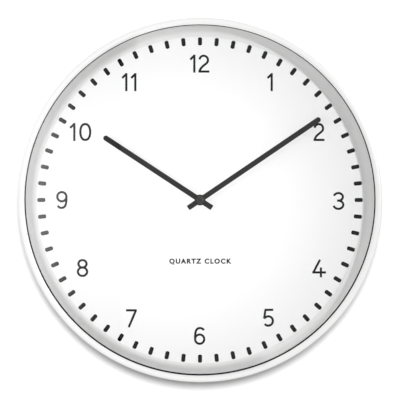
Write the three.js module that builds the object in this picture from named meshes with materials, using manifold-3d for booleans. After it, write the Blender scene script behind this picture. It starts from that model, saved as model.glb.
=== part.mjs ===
// Round wall clock: a white plastic case with a clear lens, a deep white inner ring, a dial, two hands
// and a battery quartz movement held in a square pocket of the back cover.
//
// Every piece is drawn in the clock's own frame, in millimetres: x to the right and y up as seen from the
// front, and z ("depth") from the wall towards the viewer, with x = y = 0 on the axis of the hands. The
// group at the end stands that frame upright: +Z up, wall plane at y = 0, origin at the hanging keyhole.

import * as THREE from "three";
import { mergeVertices } from "three/addons/utils/BufferGeometryUtils.js";
import Module from "manifold-3d";

const wasm = await Module();
wasm.setup();

// ---------------------------------------------------------------- driving dimensions

const CLOCK_DIAMETER = 305;
const CLOCK_DEPTH = 44;
const BEZEL_WIDTH = 5.6;
const CASE_WALL = 3;
const RIM_ROUNDING = 2.4; // outer front edge of the case
const LIP_ROUNDING = 1; // front edge of the case over the lens
const HANG_DROP = 118; // keyhole above the axis of the hands

const FIT = 0.2; // gap between pieces that rest on each other
const RUNNING = 0.15; // gap round a turning arbor or tube

const ROUND = 48; // facets of the large rings
const SMALL_ROUND = 16; // facets of the arbors, tubes and washers
const SCREW_ROUND = 12;
const ARBOR_ROUND = 8;

// depths of the stack, from the wall to the lens
const FLANGE = [2.4, 4.6];
const MOVEMENT = [4.6, 20.6];
const POCKET_FLOOR = [21.8, 23.2];
const DIAL = [26, 26.9];
const HOUR_HAND = [32, 32.6];
const MINUTE_HAND = [34.2, 34.8];
const HAND_CAP = [34.9, 37.4];
const LENS = [38.5, 40.3];
const SEAL = [40.5, 41.1];
const LIP_UNDERSIDE = 41.3;

// radii of the large rings
const CASE_OUTER = CLOCK_DIAMETER / 2;
const CASE_INNER = CASE_OUTER - CASE_WALL;
const BEZEL_INNER = CASE_OUTER - BEZEL_WIDTH;
const SEAL_INNER = BEZEL_INNER - 1;
const DIAL_VISIBLE = 136.9;
const REHAUT_SLOPE = 60; // degrees from the dial's plane
const REHAUT_WALL = 1.6;
const REHAUT_EDGE = 0.4; // thickness at the foot
const DIAL_OUTER = 142.3;
const SKIRT = [138.6, 140.6];

// case screws
const SCREW_COUNT = 6;
const SCREW_CIRCLE = 145.9;
const SCREW_HEAD = { radius: 2.8, height: 1.7, edge: 0.5 };
const SCREW_SHANK = { radius: 1.3, taperFrom: 13, tip: 15, tipRadius: 0.3 };
const SCREW_RECESS = { length: 3.4, width: 0.7, depth: 0.8 };
const SCREW_HOLE = { radius: 1.6, top: 17 };
const SCREW_BOSS = { radius: 3, top: 20, rib: 3 };

// square pocket for the movement
const POCKET = 68;
const POCKET_WALL = 2;

// hanging keyhole
const KEYHOLE_SLOT = 5;
const KEYHOLE_ENTRY = 10.5;
const KEYHOLE_TRAVEL = 11;

// hands, angles clockwise from twelve
const MINUTE_ANGLE = 55.85;
const MINUTE_TIP = 121.8;
const MINUTE_WIDTH = 4.35;
const HOUR_ANGLE = 303.3;
const HOUR_TIP = 96.5;
const HOUR_WIDTH = 4.45;
const HAND_TAIL = 12;
const HUB_RADIUS = 4.55;
const COLLET = { height: 0.9, wall: 1 }; // short sleeve behind each hub
const CAP_RADIUS = 3.2;
const CAP_ROUNDING = 1.2;

// movement case
const MOVEMENT_SIDE = 56;
const MOVEMENT_WALL = 1.2;
const COVER_SPLIT = [6.8, 7]; // rear cover ends, front case begins
const INNER_SIDE = MOVEMENT_SIDE / 2 - MOVEMENT_WALL;
const FRONT_PLATE = MOVEMENT[1] - MOVEMENT_WALL;
const REAR_PLATE = MOVEMENT[0] + MOVEMENT_WALL;
const PARTITION = [-12, -11.1];

// coaxial tubes on the axis of the hands
const SECOND_ARBOR = 0.45;
const MINUTE_TUBE = [0.7, 1.6];
const HOUR_TUBE = [MINUTE_TUBE[1] + RUNNING, 2.5];
const BUSH = [HOUR_TUBE[1] + RUNNING, 4];
const BUSH_TOP = 30.8;
const RUBBER_WASHER_RADIUS = 10;
const BRASS_WASHER_RADIUS = 8.5;
const NUT_ACROSS_CORNERS = 13.8;

// gear train: every wheel is 1 mm thick, on layers counted from the rear plate
const WHEEL_THICKNESS = 1;
const LAYER_A = 6.8;
const LAYER_B = 8.8;
const LAYER_C = 10.8;
const LAYER_D = 12.8;
const LAYER_E = 14.8;
const LAYER_F = 16.8;
const ARBOR = 0.5;
const ARBOR_SPAN = [6, 19.2];
const BEARING = { radius: 1.3, hole: ARBOR + RUNNING, rear: 6.4, front: 18.6 };
const INTERMEDIATE_AT = [-11.6, 0];
const ROTOR_AT = [-13, 9.4];
const THIRD_AT = [11.2, 0];
const SETTING_AT = [0, 12];
const SETTING_ARBOR = { radius: 1.2, rear: 3.1, pivot: 0.8 };
const MAGNET = { radius: 3, depths: [9.2, 12.2] };
const KNOB = { ribs: 24, module: 0.44, rear: 2.2, socket: 2.9 };

// tooth proportions in modules, and half widths in tooth pitches
const WHEEL_TEETH = { addendum: 0.9, dedendum: 1.1, tip: 0.1, root: 0.22 };
const PINION_LEAVES = { addendum: 0.6, dedendum: 1.3, tip: 0.08, root: 0.15 };
const KNOB_RIBS = { addendum: 0.5, dedendum: 0.5, tip: 0.16, root: 0.3 };

// ---------------------------------------------------------------- geometry helpers

/** A manifold solid from a closed geometry. */
function solid(geometry) {
  const bare = geometry.clone();
  bare.deleteAttribute("normal");
  bare.deleteAttribute("uv");
  const merged = mergeVertices(bare);
  const corners = merged.index.array;
  const kept = [];
  for (let i = 0; i < corners.length; i += 3) {
    const [a, b, c] = [corners[i], corners[i + 1], corners[i + 2]];
    if (a !== b && b !== c && c !== a) {
      kept.push(a, b, c);
    }
  }
  const vertProperties = new Float32Array(merged.attributes.position.array);
  const triVerts = new Uint32Array(kept);
  return new wasm.Manifold(new wasm.Mesh({ numProp: 3, vertProperties, triVerts }));
}

/** A three.js geometry from a manifold solid. */
function geometryOf(body) {
  const { vertProperties, triVerts } = body.getMesh();
  const geometry = new THREE.BufferGeometry();
  geometry.setAttribute("position", new THREE.BufferAttribute(new Float32Array(vertProperties), 3));
  geometry.setIndex([...triVerts]);
  return geometry;
}

/** One geometry out of several that overlap. */
function join(...geometries) {
  return geometryOf(geometries.map(solid).reduce((sum, next) => sum.add(next)));
}

/** The first geometry with the others taken out of it. */
function cut(base, ...tools) {
  return geometryOf(tools.map(solid).reduce((rest, tool) => rest.subtract(tool), solid(base)));
}

/** A body turned round the depth axis from [radius, depth] points that run counter-clockwise. */
function turned(profile, segments = SMALL_ROUND, [x, y] = [0, 0]) {
  const points = profile.map(([radius, depth]) => new THREE.Vector2(radius, depth));
  const geometry = new THREE.LatheGeometry(points, segments);
  geometry.rotateX(Math.PI / 2);
  geometry.translate(x, y, 0);
  return geometry;
}

/** A round bar along the depth axis. */
function bar(radius, [from, to], at, segments) {
  return turned([[0, from], [radius, from], [radius, to], [0, to]], segments, at);
}

/** A plain ring along the depth axis, its profile closed on itself. */
function ring([inner, outer], [from, to], segments, at) {
  const profile = [[inner, from], [outer, from], [outer, to], [inner, to], [inner, from]];
  return turned(profile, segments, at);
}

/** A block given by its x, y and depth ranges. */
function block([x0, x1], [y0, y1], [z0, z1]) {
  const geometry = new THREE.BoxGeometry(x1 - x0, y1 - y0, z1 - z0);
  geometry.translate((x0 + x1) / 2, (y0 + y1) / 2, (z0 + z1) / 2);
  return geometry;
}

/** An outline in the x-y plane carried from one depth to another. */
function plate(shape, [from, to], curveSegments = 8) {
  const geometry = new THREE.ExtrudeGeometry(shape, { depth: to - from, bevelEnabled: false, curveSegments });
  geometry.translate(0, 0, from);
  return geometry;
}

/** Points of an elliptical arc in the [radius, depth] plane. */
function arc([centreRadius, centreDepth], [radiusReach, depthReach], fromDegrees, toDegrees, steps) {
  const points = [];
  for (let step = 0; step <= steps; step += 1) {
    const angle = THREE.MathUtils.degToRad(fromDegrees + ((toDegrees - fromDegrees) * step) / steps);
    points.push([
      centreRadius + radiusReach * Math.cos(angle),
      centreDepth + depthReach * Math.sin(angle),
    ]);
  }
  return points;
}

/** The same geometry turned clockwise, as seen from the front, about the axis of the hands. */
function clockwise(geometry, degrees) {
  return geometry.rotateZ(-THREE.MathUtils.degToRad(degrees));
}

/** [from, from + thickness] */
function layer(from, thickness = WHEEL_THICKNESS) {
  return [from, from + thickness];
}

// ---------------------------------------------------------------- case, lens and dial

function screwPlaces() {
  return Array.from({ length: SCREW_COUNT }, (_, i) => (360 / SCREW_COUNT) * i);
}

/** The outer shell: a wall with a rounded front rim whose lip holds the lens, and bosses for the screws. */
function caseRing() {
  const crown = CASE_OUTER - RIM_ROUNDING;
  const wall = [
    [CASE_INNER, 0],
    [CASE_OUTER - 0.5, 0],
    [CASE_OUTER, 0.5],
    ...arc([crown, CLOCK_DEPTH - RIM_ROUNDING], [RIM_ROUNDING, RIM_ROUNDING], 0, 90, 4),
    ...arc([crown, CLOCK_DEPTH - LIP_ROUNDING], [crown - BEZEL_INNER, LIP_ROUNDING], 90, 180, 3).slice(1),
    [BEZEL_INNER, LIP_UNDERSIDE],
    [CASE_INNER, LIP_UNDERSIDE],
    [CASE_INNER, 0],
  ];
  const bosses = [];
  const holes = [];
  const bossSpan = [FLANGE[1] + 0.3, SCREW_BOSS.top];
  const ribRadii = [SCREW_CIRCLE + 1, CASE_INNER + 0.8];
  const ribWidth = [-SCREW_BOSS.rib / 2, SCREW_BOSS.rib / 2];
  for (const degrees of screwPlaces()) {
    const boss = bar(SCREW_BOSS.radius, bossSpan, [SCREW_CIRCLE, 0], SCREW_ROUND);
    const hole = bar(SCREW_HOLE.radius, [0, SCREW_HOLE.top], [SCREW_CIRCLE, 0], SCREW_ROUND);
    bosses.push(clockwise(boss, degrees));
    bosses.push(clockwise(block(ribRadii, ribWidth, bossSpan), degrees));
    holes.push(clockwise(hole, degrees));
  }
  return cut(join(turned(wall, ROUND), ...bosses), ...holes);
}

/** The wall between dial and lens: a thin ring that bends up from the dial's face into a steep slope. */
function rehautRing() {
  const top = LENS[0] - FIT;
  const foot = DIAL[1] + 0.3;
  const underFlange = top - 1.3;
  const flange = CASE_INNER - 0.4;
  const rimRadius = BEZEL_INNER - 0.2;
  const slope = THREE.MathUtils.degToRad(REHAUT_SLOPE);
  const across = rimRadius - DIAL_VISIBLE;
  const rise = top - foot - REHAUT_EDGE;
  const bend = (across * Math.sin(slope) - rise * Math.cos(slope)) / (1 - Math.cos(slope));
  const centre = [DIAL_VISIBLE, foot + REHAUT_EDGE + bend];
  const outerBend = bend + REHAUT_WALL;
  const footAngle = THREE.MathUtils.radToDeg(Math.acos((bend + REHAUT_EDGE) / outerBend));
  const outerArc = arc(centre, [outerBend, outerBend], footAngle - 90, REHAUT_SLOPE - 90, 3);
  const bendEnd = outerArc[outerArc.length - 1];
  const profile = [
    [DIAL_VISIBLE, foot],
    ...outerArc,
    [bendEnd[0] + (underFlange - bendEnd[1]) / Math.tan(slope), underFlange],
    [flange, underFlange],
    [flange, top],
    [rimRadius, top],
    ...arc(centre, [bend, bend], REHAUT_SLOPE - 90, -90, 4),
    [DIAL_VISIBLE, foot],
  ];
  return turned(profile, ROUND);
}

function lens() {
  return bar(CASE_INNER - 0.4, LENS, [0, 0], ROUND);
}

function lensSeal() {
  return ring([SEAL_INNER, CASE_INNER - 0.3], SEAL, ROUND);
}

function dial() {
  return ring([BUSH[1] + 0.25, DIAL_OUTER], DIAL, ROUND);
}

// ---------------------------------------------------------------- back cover and its screws

function keyhole() {
  const through = [FLANGE[0] - 1, FLANGE[1] + 1];
  const slotBottom = HANG_DROP - KEYHOLE_TRAVEL;
  const entry = bar(KEYHOLE_ENTRY / 2, through, [0, slotBottom]);
  const slotEnd = bar(KEYHOLE_SLOT / 2, through, [0, HANG_DROP]);
  const slot = block([-KEYHOLE_SLOT / 2, KEYHOLE_SLOT / 2], [slotBottom, HANG_DROP], through);
  return join(entry, slotEnd, slot);
}

/** One moulding: a rear flange, a skirt that carries the dial, and the pocket that holds the movement. */
function backCover() {
  const inside = POCKET / 2;
  const outside = inside + POCKET_WALL;
  const dialSeat = DIAL[0] - 0.3;
  const flange = bar(CASE_INNER - 0.3, FLANGE, [0, 0], ROUND);
  const skirt = ring(SKIRT, [FLANGE[1] - 0.5, dialSeat], ROUND);
  const box = block([-outside, outside], [-outside, outside], [FLANGE[0], dialSeat]);
  const rearRoom = block([-inside, inside], [-inside, inside], [0, POCKET_FLOOR[0]]);
  const nutRoom = block([-inside, inside], [-inside, inside], [POCKET_FLOOR[1], dialSeat + 1]);
  const bushHole = bar(BUSH[1] + 0.3, POCKET_FLOOR.map((depth, i) => depth + 2 * i - 1));
  const screwHoles = screwPlaces().map((degrees) => {
    const hole = bar(SCREW_HOLE.radius, [FLANGE[0] - 1, FLANGE[1] + 1], [SCREW_CIRCLE, 0], SCREW_ROUND);
    return clockwise(hole, degrees);
  });
  return cut(join(flange, skirt, box), rearRoom, nutRoom, bushHole, keyhole(), ...screwHoles);
}

/** Pan-head screw with a cross recess, its head towards the wall. */
function backScrew(degrees) {
  const headTop = FLANGE[0] - FIT;
  const headRear = headTop - SCREW_HEAD.height;
  const profile = [
    [0, headRear],
    [SCREW_HEAD.radius - SCREW_HEAD.edge, headRear],
    [SCREW_HEAD.radius, headRear + SCREW_HEAD.edge],
    [SCREW_HEAD.radius, headTop],
    [SCREW_SHANK.radius, headTop],
    [SCREW_SHANK.radius, SCREW_SHANK.taperFrom],
    [SCREW_SHANK.tipRadius, SCREW_SHANK.tip],
    [0, SCREW_SHANK.tip],
  ];
  const recessDepth = [headRear - 1, headRear + SCREW_RECESS.depth];
  const slotLong = [-SCREW_RECESS.length / 2, SCREW_RECESS.length / 2];
  const slotShort = [-SCREW_RECESS.width / 2, SCREW_RECESS.width / 2];
  const screw = cut(
    turned(profile, SCREW_ROUND),
    join(block(slotLong, slotShort, recessDepth), block(slotShort, slotLong, recessDepth)),
  );
  screw.translate(SCREW_CIRCLE, 0, 0);
  return clockwise(screw, degrees);
}

// ---------------------------------------------------------------- hands

/** A flat hand along +y: square-cut tail, parallel blade, rounded tip, and a round hub. */
function hand({ tip, width, depths, bore }) {
  const blade = new THREE.Shape();
  const half = width / 2;
  blade.moveTo(-half, -HAND_TAIL);
  blade.lineTo(half, -HAND_TAIL);
  blade.lineTo(half, tip - half);
  blade.absarc(0, tip - half, half, 0, Math.PI, false);
  const hub = bar(HUB_RADIUS, depths);
  const colletRear = depths[0] - COLLET.height;
  const collet = bar(bore + COLLET.wall, [colletRear, depths[1]]);
  return cut(join(plate(blade, depths), hub, collet), bar(bore, [colletRear - 1, depths[1] + 1]));
}

function minuteHand() {
  const geometry = hand({
    tip: MINUTE_TIP,
    width: MINUTE_WIDTH,
    depths: MINUTE_HAND,
    bore: MINUTE_TUBE[1] + 0.1,
  });
  return clockwise(geometry, MINUTE_ANGLE);
}

function hourHand() {
  const geometry = hand({
    tip: HOUR_TIP,
    width: HOUR_WIDTH,
    depths: HOUR_HAND,
    bore: HOUR_TUBE[1] + 0.1,
  });
  return clockwise(geometry, HOUR_ANGLE);
}

/** Blind cap nut on the end of the minute tube. */
function handCap() {
  const [rear, front] = HAND_CAP;
  const hole = MINUTE_TUBE[1] + 0.1;
  const holeTop = front - 0.8;
  const shoulder = front - CAP_ROUNDING;
  const profile = [
    [hole, rear],
    [CAP_RADIUS, rear],
    [CAP_RADIUS, shoulder],
    ...arc([CAP_RADIUS - CAP_ROUNDING, shoulder], [CAP_ROUNDING, CAP_ROUNDING], 0, 90, 3).slice(1),
    [0, front],
    [0, holeTop],
    [hole, holeTop],
    [hole, rear],
  ];
  return turned(profile);
}

// ---------------------------------------------------------------- gears

/** A toothed disc on its own axis; tooth 0 points along +x, turned by phase (in tooth pitches). */
function toothed(teeth, module, form, depths, phase = 0) {
  const pitchRadius = (module * teeth) / 2;
  const rootRadius = pitchRadius - form.dedendum * module;
  const tipRadius = pitchRadius + form.addendum * module;
  const corners = [
    [rootRadius, -form.root],
    [tipRadius, -form.tip],
    [tipRadius, form.tip],
    [rootRadius, form.root],
  ];
  const points = [];
  for (let tooth = 0; tooth < teeth; tooth += 1) {
    for (const [radius, offset] of corners) {
      const angle = ((tooth + phase + offset) * 2 * Math.PI) / teeth;
      points.push(new THREE.Vector2(radius * Math.cos(angle), radius * Math.sin(angle)));
    }
  }
  return plate(new THREE.Shape(points), depths);
}

/** Module of a wheel and pinion on two given axes. */
function moduleOf([x0, y0], [x1, y1], teeth, leaves) {
  return (2 * Math.hypot(x1 - x0, y1 - y0)) / (teeth + leaves);
}

/**
 * Phase, in tooth pitches, of a gear at "from" that meshes with one at "to". A wheel puts a tooth on the
 * line between the two axes and a pinion puts a gap there.
 */
function phaseTowards([x0, y0], [x1, y1], teeth, gap) {
  const turn = Math.atan2(y1 - y0, x1 - x0) / (2 * Math.PI);
  return turn * teeth + (gap ? 0.5 : 0);
}

/** Numbers of teeth, axes and module of one wheel and the pinion that it meshes with. */
function pair(wheelAt, teeth, pinionAt, leaves) {
  const module = moduleOf(wheelAt, pinionAt, teeth, leaves);
  return {
    wheel: (depths) => {
      const phase = phaseTowards(wheelAt, pinionAt, teeth, false);
      return toothed(teeth, module, WHEEL_TEETH, depths, phase);
    },
    pinion: (depths) => {
      const phase = phaseTowards(pinionAt, wheelAt, leaves, true);
      return toothed(leaves, module, PINION_LEAVES, depths, phase);
    },
  };
}

const CENTRE = [0, 0];
const rotorPair = pair(INTERMEDIATE_AT, 36, ROTOR_AT, 6);
const secondPair = pair(CENTRE, 30, INTERMEDIATE_AT, 6);
const thirdPair = pair(THIRD_AT, 48, CENTRE, 6);
const centrePair = pair(CENTRE, 45, THIRD_AT, 6);
const motionPair = pair(SETTING_AT, 30, CENTRE, 10);
const hourPair = pair(CENTRE, 32, SETTING_AT, 8);

/** A geometry drawn on its own axis, moved to where that axis stands. */
function placed(geometry, [x, y]) {
  return geometry.translate(x, y, 0);
}

/** The arbor that a wheel of the train turns on, between its two bearings. */
function thinArbor() {
  return bar(ARBOR, ARBOR_SPAN, CENTRE, ARBOR_ROUND);
}

function rotorPinion() {
  return placed(join(thinArbor(), rotorPair.pinion(layer(LAYER_A))), ROTOR_AT);
}

function rotorMagnet() {
  return ring([ARBOR + 0.1, MAGNET.radius], MAGNET.depths, SMALL_ROUND, ROTOR_AT);
}

function intermediateWheel() {
  const gear = join(thinArbor(), rotorPair.wheel(layer(LAYER_A)), secondPair.pinion(layer(LAYER_B)));
  return placed(gear, INTERMEDIATE_AT);
}

function secondWheel() {
  const arbor = bar(SECOND_ARBOR, [ARBOR_SPAN[0], HAND_CAP[0] + 0.9], CENTRE, ARBOR_ROUND);
  return join(arbor, secondPair.wheel(layer(LAYER_B)), thirdPair.pinion(layer(LAYER_C)));
}

function thirdWheel() {
  const gear = join(thinArbor(), thirdPair.wheel(layer(LAYER_C)), centrePair.pinion(layer(LAYER_D)));
  return placed(gear, THIRD_AT);
}

/** Held on the cannon pinion by friction alone, so that the hands can be set. */
function centreWheel() {
  const depths = layer(LAYER_D);
  return cut(centrePair.wheel(depths), bar(MINUTE_TUBE[1] + RUNNING, [depths[0] - 1, depths[1] + 1]));
}

function frictionSpring() {
  return ring([MINUTE_TUBE[1] + 0.1, 3.4], [LAYER_D + 1.2, LAYER_D + 1.8]);
}

/** The minute tube with the pinion that drives the motion work and the seat of the centre wheel. */
function cannonPinion() {
  const tubeSpan = [LAYER_D - 0.7, HAND_CAP[1] - 1];
  const tube = bar(MINUTE_TUBE[1], tubeSpan);
  const seat = bar(2.6, [tubeSpan[0], LAYER_D - 0.2]);
  const bore = bar(MINUTE_TUBE[0], [tubeSpan[0] - 1, tubeSpan[1] + 1]);
  return cut(join(tube, seat, motionPair.pinion(layer(LAYER_E))), bore);
}

function motionWheel() {
  const arbor = bar(SETTING_ARBOR.radius, [SETTING_ARBOR.rear, LAYER_F + 0.5]);
  const pivot = bar(SETTING_ARBOR.pivot, [LAYER_F, ARBOR_SPAN[1]]);
  const gear = join(arbor, pivot, motionPair.wheel(layer(LAYER_E)), hourPair.pinion(layer(LAYER_F)));
  return placed(gear, SETTING_AT);
}

function hourWheel() {
  const tubeSpan = [LAYER_F, HOUR_HAND[1] + 0.4];
  const tube = bar(HOUR_TUBE[1], tubeSpan);
  const bore = bar(HOUR_TUBE[0], [tubeSpan[0] - 1, tubeSpan[1] + 1]);
  return cut(join(tube, hourPair.wheel(layer(LAYER_F))), bore);
}

/** Ribbed knob on the rear end of the setting arbor. */
function settingKnob() {
  const front = MOVEMENT[0] - 0.3;
  const ribs = toothed(KNOB.ribs, KNOB.module, KNOB_RIBS, [KNOB.rear, front]);
  const socket = bar(SETTING_ARBOR.radius + 0.05, [KNOB.socket, front + 1]);
  return placed(cut(ribs, socket), SETTING_AT);
}

// ---------------------------------------------------------------- movement case

const BATTERY = { y: -19.4, depth: 12.3, radius: 6.95, nubRadius: 2.7 };
const BATTERY_ENDS = { flat: -25.2, shoulder: 24.3, nub: 25.4 };
const BAY = { x: [-25.9, 25.9], y: [-26.6, -12.1] };
const CORE = { x: [-24.4, -2], y: [20.5, 23.5], depths: [9.3, 10.1] };
const STATOR = { foot: 4.8, armWidth: 3.7, windowFoot: 14.2, rotorHole: 3.4 };
const STATOR_DEPTHS = [CORE.depths[1] + FIT, CORE.depths[1] + 1];
const BOBBIN = { x: [-20, -6.2], cheek: 0.6, cheekRadius: 3.3, barrelRadius: 2 };
const WINDING_RADII = [2.1, 3.1];
const BOARD = { x: [13.2, 26.4], y: [-10.9, 23], depths: [15, 15.8] };
const CHIP = { at: [20, 10], radius: 2.6, height: 1.3 };
const CRYSTAL = { at: [18, -2], radius: 1, length: 6 };
const STRIP = { thickness: 0.4, outer: 26.35, foot: -25 }; // battery contacts, either side of x = 0
const STRIP_REAR = { positive: 9, negative: 12.2 };
const CLAMP_POSTS = [[-22.5, 22], [-4, 22]];
const BOARD_POSTS = [[24.5, 21], [24.5, -7]];
const POST_RADIUS = 1.2;
const TRAIN_ARBORS = [ROTOR_AT, INTERMEDIATE_AT, THIRD_AT];

/** A thin post, bearing or bearing hole of the movement's case. */
function post(radius, depths, at) {
  return bar(radius, depths, at, ARBOR_ROUND);
}

/** Deep half of the movement's case, towards the dial. */
function movementFrontCase() {
  const side = MOVEMENT_SIDE / 2;
  const shell = cut(
    block([-side, side], [-side, side], [COVER_SPLIT[1], MOVEMENT[1]]),
    block([-INNER_SIDE, INNER_SIDE], [-INNER_SIDE, INNER_SIDE], [0, FRONT_PLATE]),
  );
  const partition = block([-side + 0.5, side - 0.5], PARTITION, [COVER_SPLIT[1], MOVEMENT[1] - 0.5]);
  const bearings = TRAIN_ARBORS.map((at) => post(BEARING.radius, [BEARING.front, MOVEMENT[1] - 0.5], at));
  const settingBearing = bar(SETTING_ARBOR.pivot + 1.1, [BEARING.front, MOVEMENT[1] - 0.5], SETTING_AT);
  const clampSpan = [STATOR_DEPTHS[1] + FIT, FRONT_PLATE + 0.5];
  const clampPosts = CLAMP_POSTS.map((at) => post(POST_RADIUS, clampSpan, at));
  const boardSpan = [BOARD.depths[1] + FIT, FRONT_PLATE + 0.5];
  const boardPosts = BOARD_POSTS.map((at) => post(POST_RADIUS, boardSpan, at));
  const sockets = TRAIN_ARBORS.map((at) => post(BEARING.hole, [BEARING.front - 1, FRONT_PLATE], at));
  const settingSocket = bar(SETTING_ARBOR.pivot + RUNNING, [BEARING.front - 1, FRONT_PLATE], SETTING_AT);
  const stripNotches = [-1, 1].map((sign) => {
    const edges = [sign * (INNER_SIDE - 2.2), sign * INNER_SIDE].sort((a, b) => a - b);
    const span = [COVER_SPLIT[1] - 1, BOARD.depths[0] + FIT];
    return block(edges, [PARTITION[0] - 1, PARTITION[1] + 1], span);
  });
  return cut(
    join(shell, partition, ...bearings, settingBearing, ...clampPosts, ...boardPosts),
    bar(BUSH[1] + 0.15, [FRONT_PLATE - 1, MOVEMENT[1] + 1]),
    ...sockets,
    settingSocket,
    ...stripNotches,
  );
}

/** Shallow half towards the wall, open over the battery bay. */
function movementRearCover() {
  const side = MOVEMENT_SIDE / 2;
  const lip = INNER_SIDE;
  const lid = cut(
    block([-side, side], [-side, side], [MOVEMENT[0], COVER_SPLIT[0]]),
    block([-lip, lip], [-lip, lip], [REAR_PLATE, COVER_SPLIT[1]]),
  );
  const arbors = [CENTRE, ...TRAIN_ARBORS];
  const bearings = arbors.map((at) => post(BEARING.radius, [REAR_PLATE - 0.5, BEARING.rear], at));
  const clampPosts = CLAMP_POSTS.map((at) => post(POST_RADIUS, [REAR_PLATE - 0.5, CORE.depths[0] - FIT], at));
  const sockets = arbors.map((at) => post(BEARING.hole, [REAR_PLATE, BEARING.rear + 1], at));
  return cut(
    join(lid, ...bearings, ...clampPosts),
    block(BAY.x, BAY.y, [MOVEMENT[0] - 1, COVER_SPLIT[1]]),
    bar(SETTING_ARBOR.radius + 0.3, [MOVEMENT[0] - 1, REAR_PLATE + 1], SETTING_AT),
    ...sockets,
  );
}

/** Threaded sleeve that carries the whole movement, flanged inside the front case. */
function threadedBush() {
  const [inner, outer] = BUSH;
  const flangeRear = FRONT_PLATE - 1;
  const flangeRadius = outer + 1.4;
  const profile = [
    [inner, flangeRear],
    [flangeRadius, flangeRear],
    [flangeRadius, FRONT_PLATE - FIT],
    [outer, FRONT_PLATE - FIT],
    [outer, BUSH_TOP],
    [inner, BUSH_TOP],
    [inner, flangeRear],
  ];
  return turned(profile);
}

function rubberWasher() {
  return ring([BUSH[1] + 0.2, RUBBER_WASHER_RADIUS], [MOVEMENT[1] + FIT, POCKET_FLOOR[0] - FIT]);
}

function brassWasher() {
  return ring([BUSH[1] + 0.2, BRASS_WASHER_RADIUS], [POCKET_FLOOR[1] + 0.1, POCKET_FLOOR[1] + 0.6]);
}

function mountingNut() {
  const depths = [POCKET_FLOOR[1] + 0.7, DIAL[0] - 0.3];
  const hexagon = bar(NUT_ACROSS_CORNERS / 2, depths, CENTRE, 6);
  return cut(hexagon, bar(BUSH[1] + 0.15, [depths[0] - 1, depths[1] + 1]));
}

// ---------------------------------------------------------------- motor, electronics and battery

/** Flat iron plate round the rotor, with two arms that reach up to the coil's core. */
function stator() {
  const through = [STATOR_DEPTHS[0] - 1, STATOR_DEPTHS[1] + 1];
  const base = block(CORE.x, [STATOR.foot, CORE.y[1]], STATOR_DEPTHS);
  const betweenArms = [CORE.x[0] + STATOR.armWidth, CORE.x[1] - STATOR.armWidth];
  const window = block(betweenArms, [STATOR.windowFoot, CORE.y[1] + 1], through);
  return cut(base, window, bar(STATOR.rotorHole, through, ROTOR_AT));
}

function coilCore() {
  return block(CORE.x, CORE.y, CORE.depths);
}

/** A body turned round an axis that runs along x, from [radius, x] points. */
function turnedAlongX(profile, y, depth) {
  const points = profile.map(([radius, x]) => new THREE.Vector2(radius, x));
  const geometry = new THREE.LatheGeometry(points, SMALL_ROUND);
  geometry.rotateZ(-Math.PI / 2);
  geometry.translate(0, y, depth);
  return geometry;
}

/** A body turned round the middle of the coil's core. */
function roundCoil(profile) {
  return turnedAlongX(profile, (CORE.y[0] + CORE.y[1]) / 2, (CORE.depths[0] + CORE.depths[1]) / 2);
}

function coilBobbin() {
  const { x, cheek, cheekRadius, barrelRadius } = BOBBIN;
  const [left, right] = x;
  const spool = roundCoil([
    [0, left],
    [cheekRadius, left],
    [cheekRadius, left + cheek],
    [barrelRadius, left + cheek],
    [barrelRadius, right - cheek],
    [cheekRadius, right - cheek],
    [cheekRadius, right],
    [0, right],
  ]);
  const gap = 0.1;
  const coreRoom = block(
    [left - 1, right + 1],
    [CORE.y[0] - gap, CORE.y[1] + gap],
    [CORE.depths[0] - gap, CORE.depths[1] + gap],
  );
  return cut(spool, coreRoom);
}

function coilWinding() {
  const [inner, outer] = WINDING_RADII;
  const left = BOBBIN.x[0] + BOBBIN.cheek + FIT;
  const right = BOBBIN.x[1] - BOBBIN.cheek - FIT;
  return roundCoil([[inner, left], [outer, left], [outer, right], [inner, right], [inner, left]]);
}

function circuitBoard() {
  return block(BOARD.x, BOARD.y, BOARD.depths);
}

/** Domed blob over the clock chip, on the board's rear face. */
function chipBlob() {
  const face = BOARD.depths[0] - 0.1;
  const dome = arc([0, face], [CHIP.radius, CHIP.height], -90, 0, 4);
  dome[0][0] = 0;
  return turned([...dome, [0, face]], SMALL_ROUND, CHIP.at);
}

/** Can of the quartz crystal, lying along the board's rear face. */
function quartzCrystal() {
  const { at, radius, length } = CRYSTAL;
  const geometry = new THREE.CylinderGeometry(radius, radius, length, SMALL_ROUND);
  geometry.translate(at[0], at[1], BOARD.depths[0] - radius - FIT);
  return geometry;
}

/** Flat spring strip at the battery's button end, which runs up under the circuit board. */
function positiveContact() {
  const edges = [STRIP.outer - STRIP.thickness, STRIP.outer];
  const head = PARTITION[1] + 5.1;
  return block(edges, [STRIP.foot, head], [STRIP_REAR.positive, BOARD.depths[0] - FIT]);
}

/** Bent strip from the battery's flat end, along the partition, to the circuit board. */
function negativeContact() {
  const [left, inner] = [-STRIP.outer, -STRIP.outer + STRIP.thickness];
  const [lower, upper] = [PARTITION[1] + 0.15, PARTITION[1] + 0.15 + STRIP.thickness];
  const end = BOARD.x[0] + 2.8;
  const strip = new THREE.Shape();
  strip.moveTo(left, STRIP.foot);
  strip.lineTo(inner, STRIP.foot);
  strip.lineTo(inner, lower);
  strip.lineTo(end, lower);
  strip.lineTo(end, upper);
  strip.lineTo(left, upper);
  return plate(strip, [STRIP_REAR.negative, BOARD.depths[0] - FIT]);
}

function battery() {
  const { flat, shoulder, nub } = BATTERY_ENDS;
  const { radius, nubRadius } = BATTERY;
  const profile = [
    [0, flat],
    [radius, flat],
    [radius, shoulder],
    [nubRadius, shoulder],
    [nubRadius, nub],
    [0, nub],
  ];
  return turnedAlongX(profile, BATTERY.y, BATTERY.depth);
}

// ---------------------------------------------------------------- materials

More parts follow.
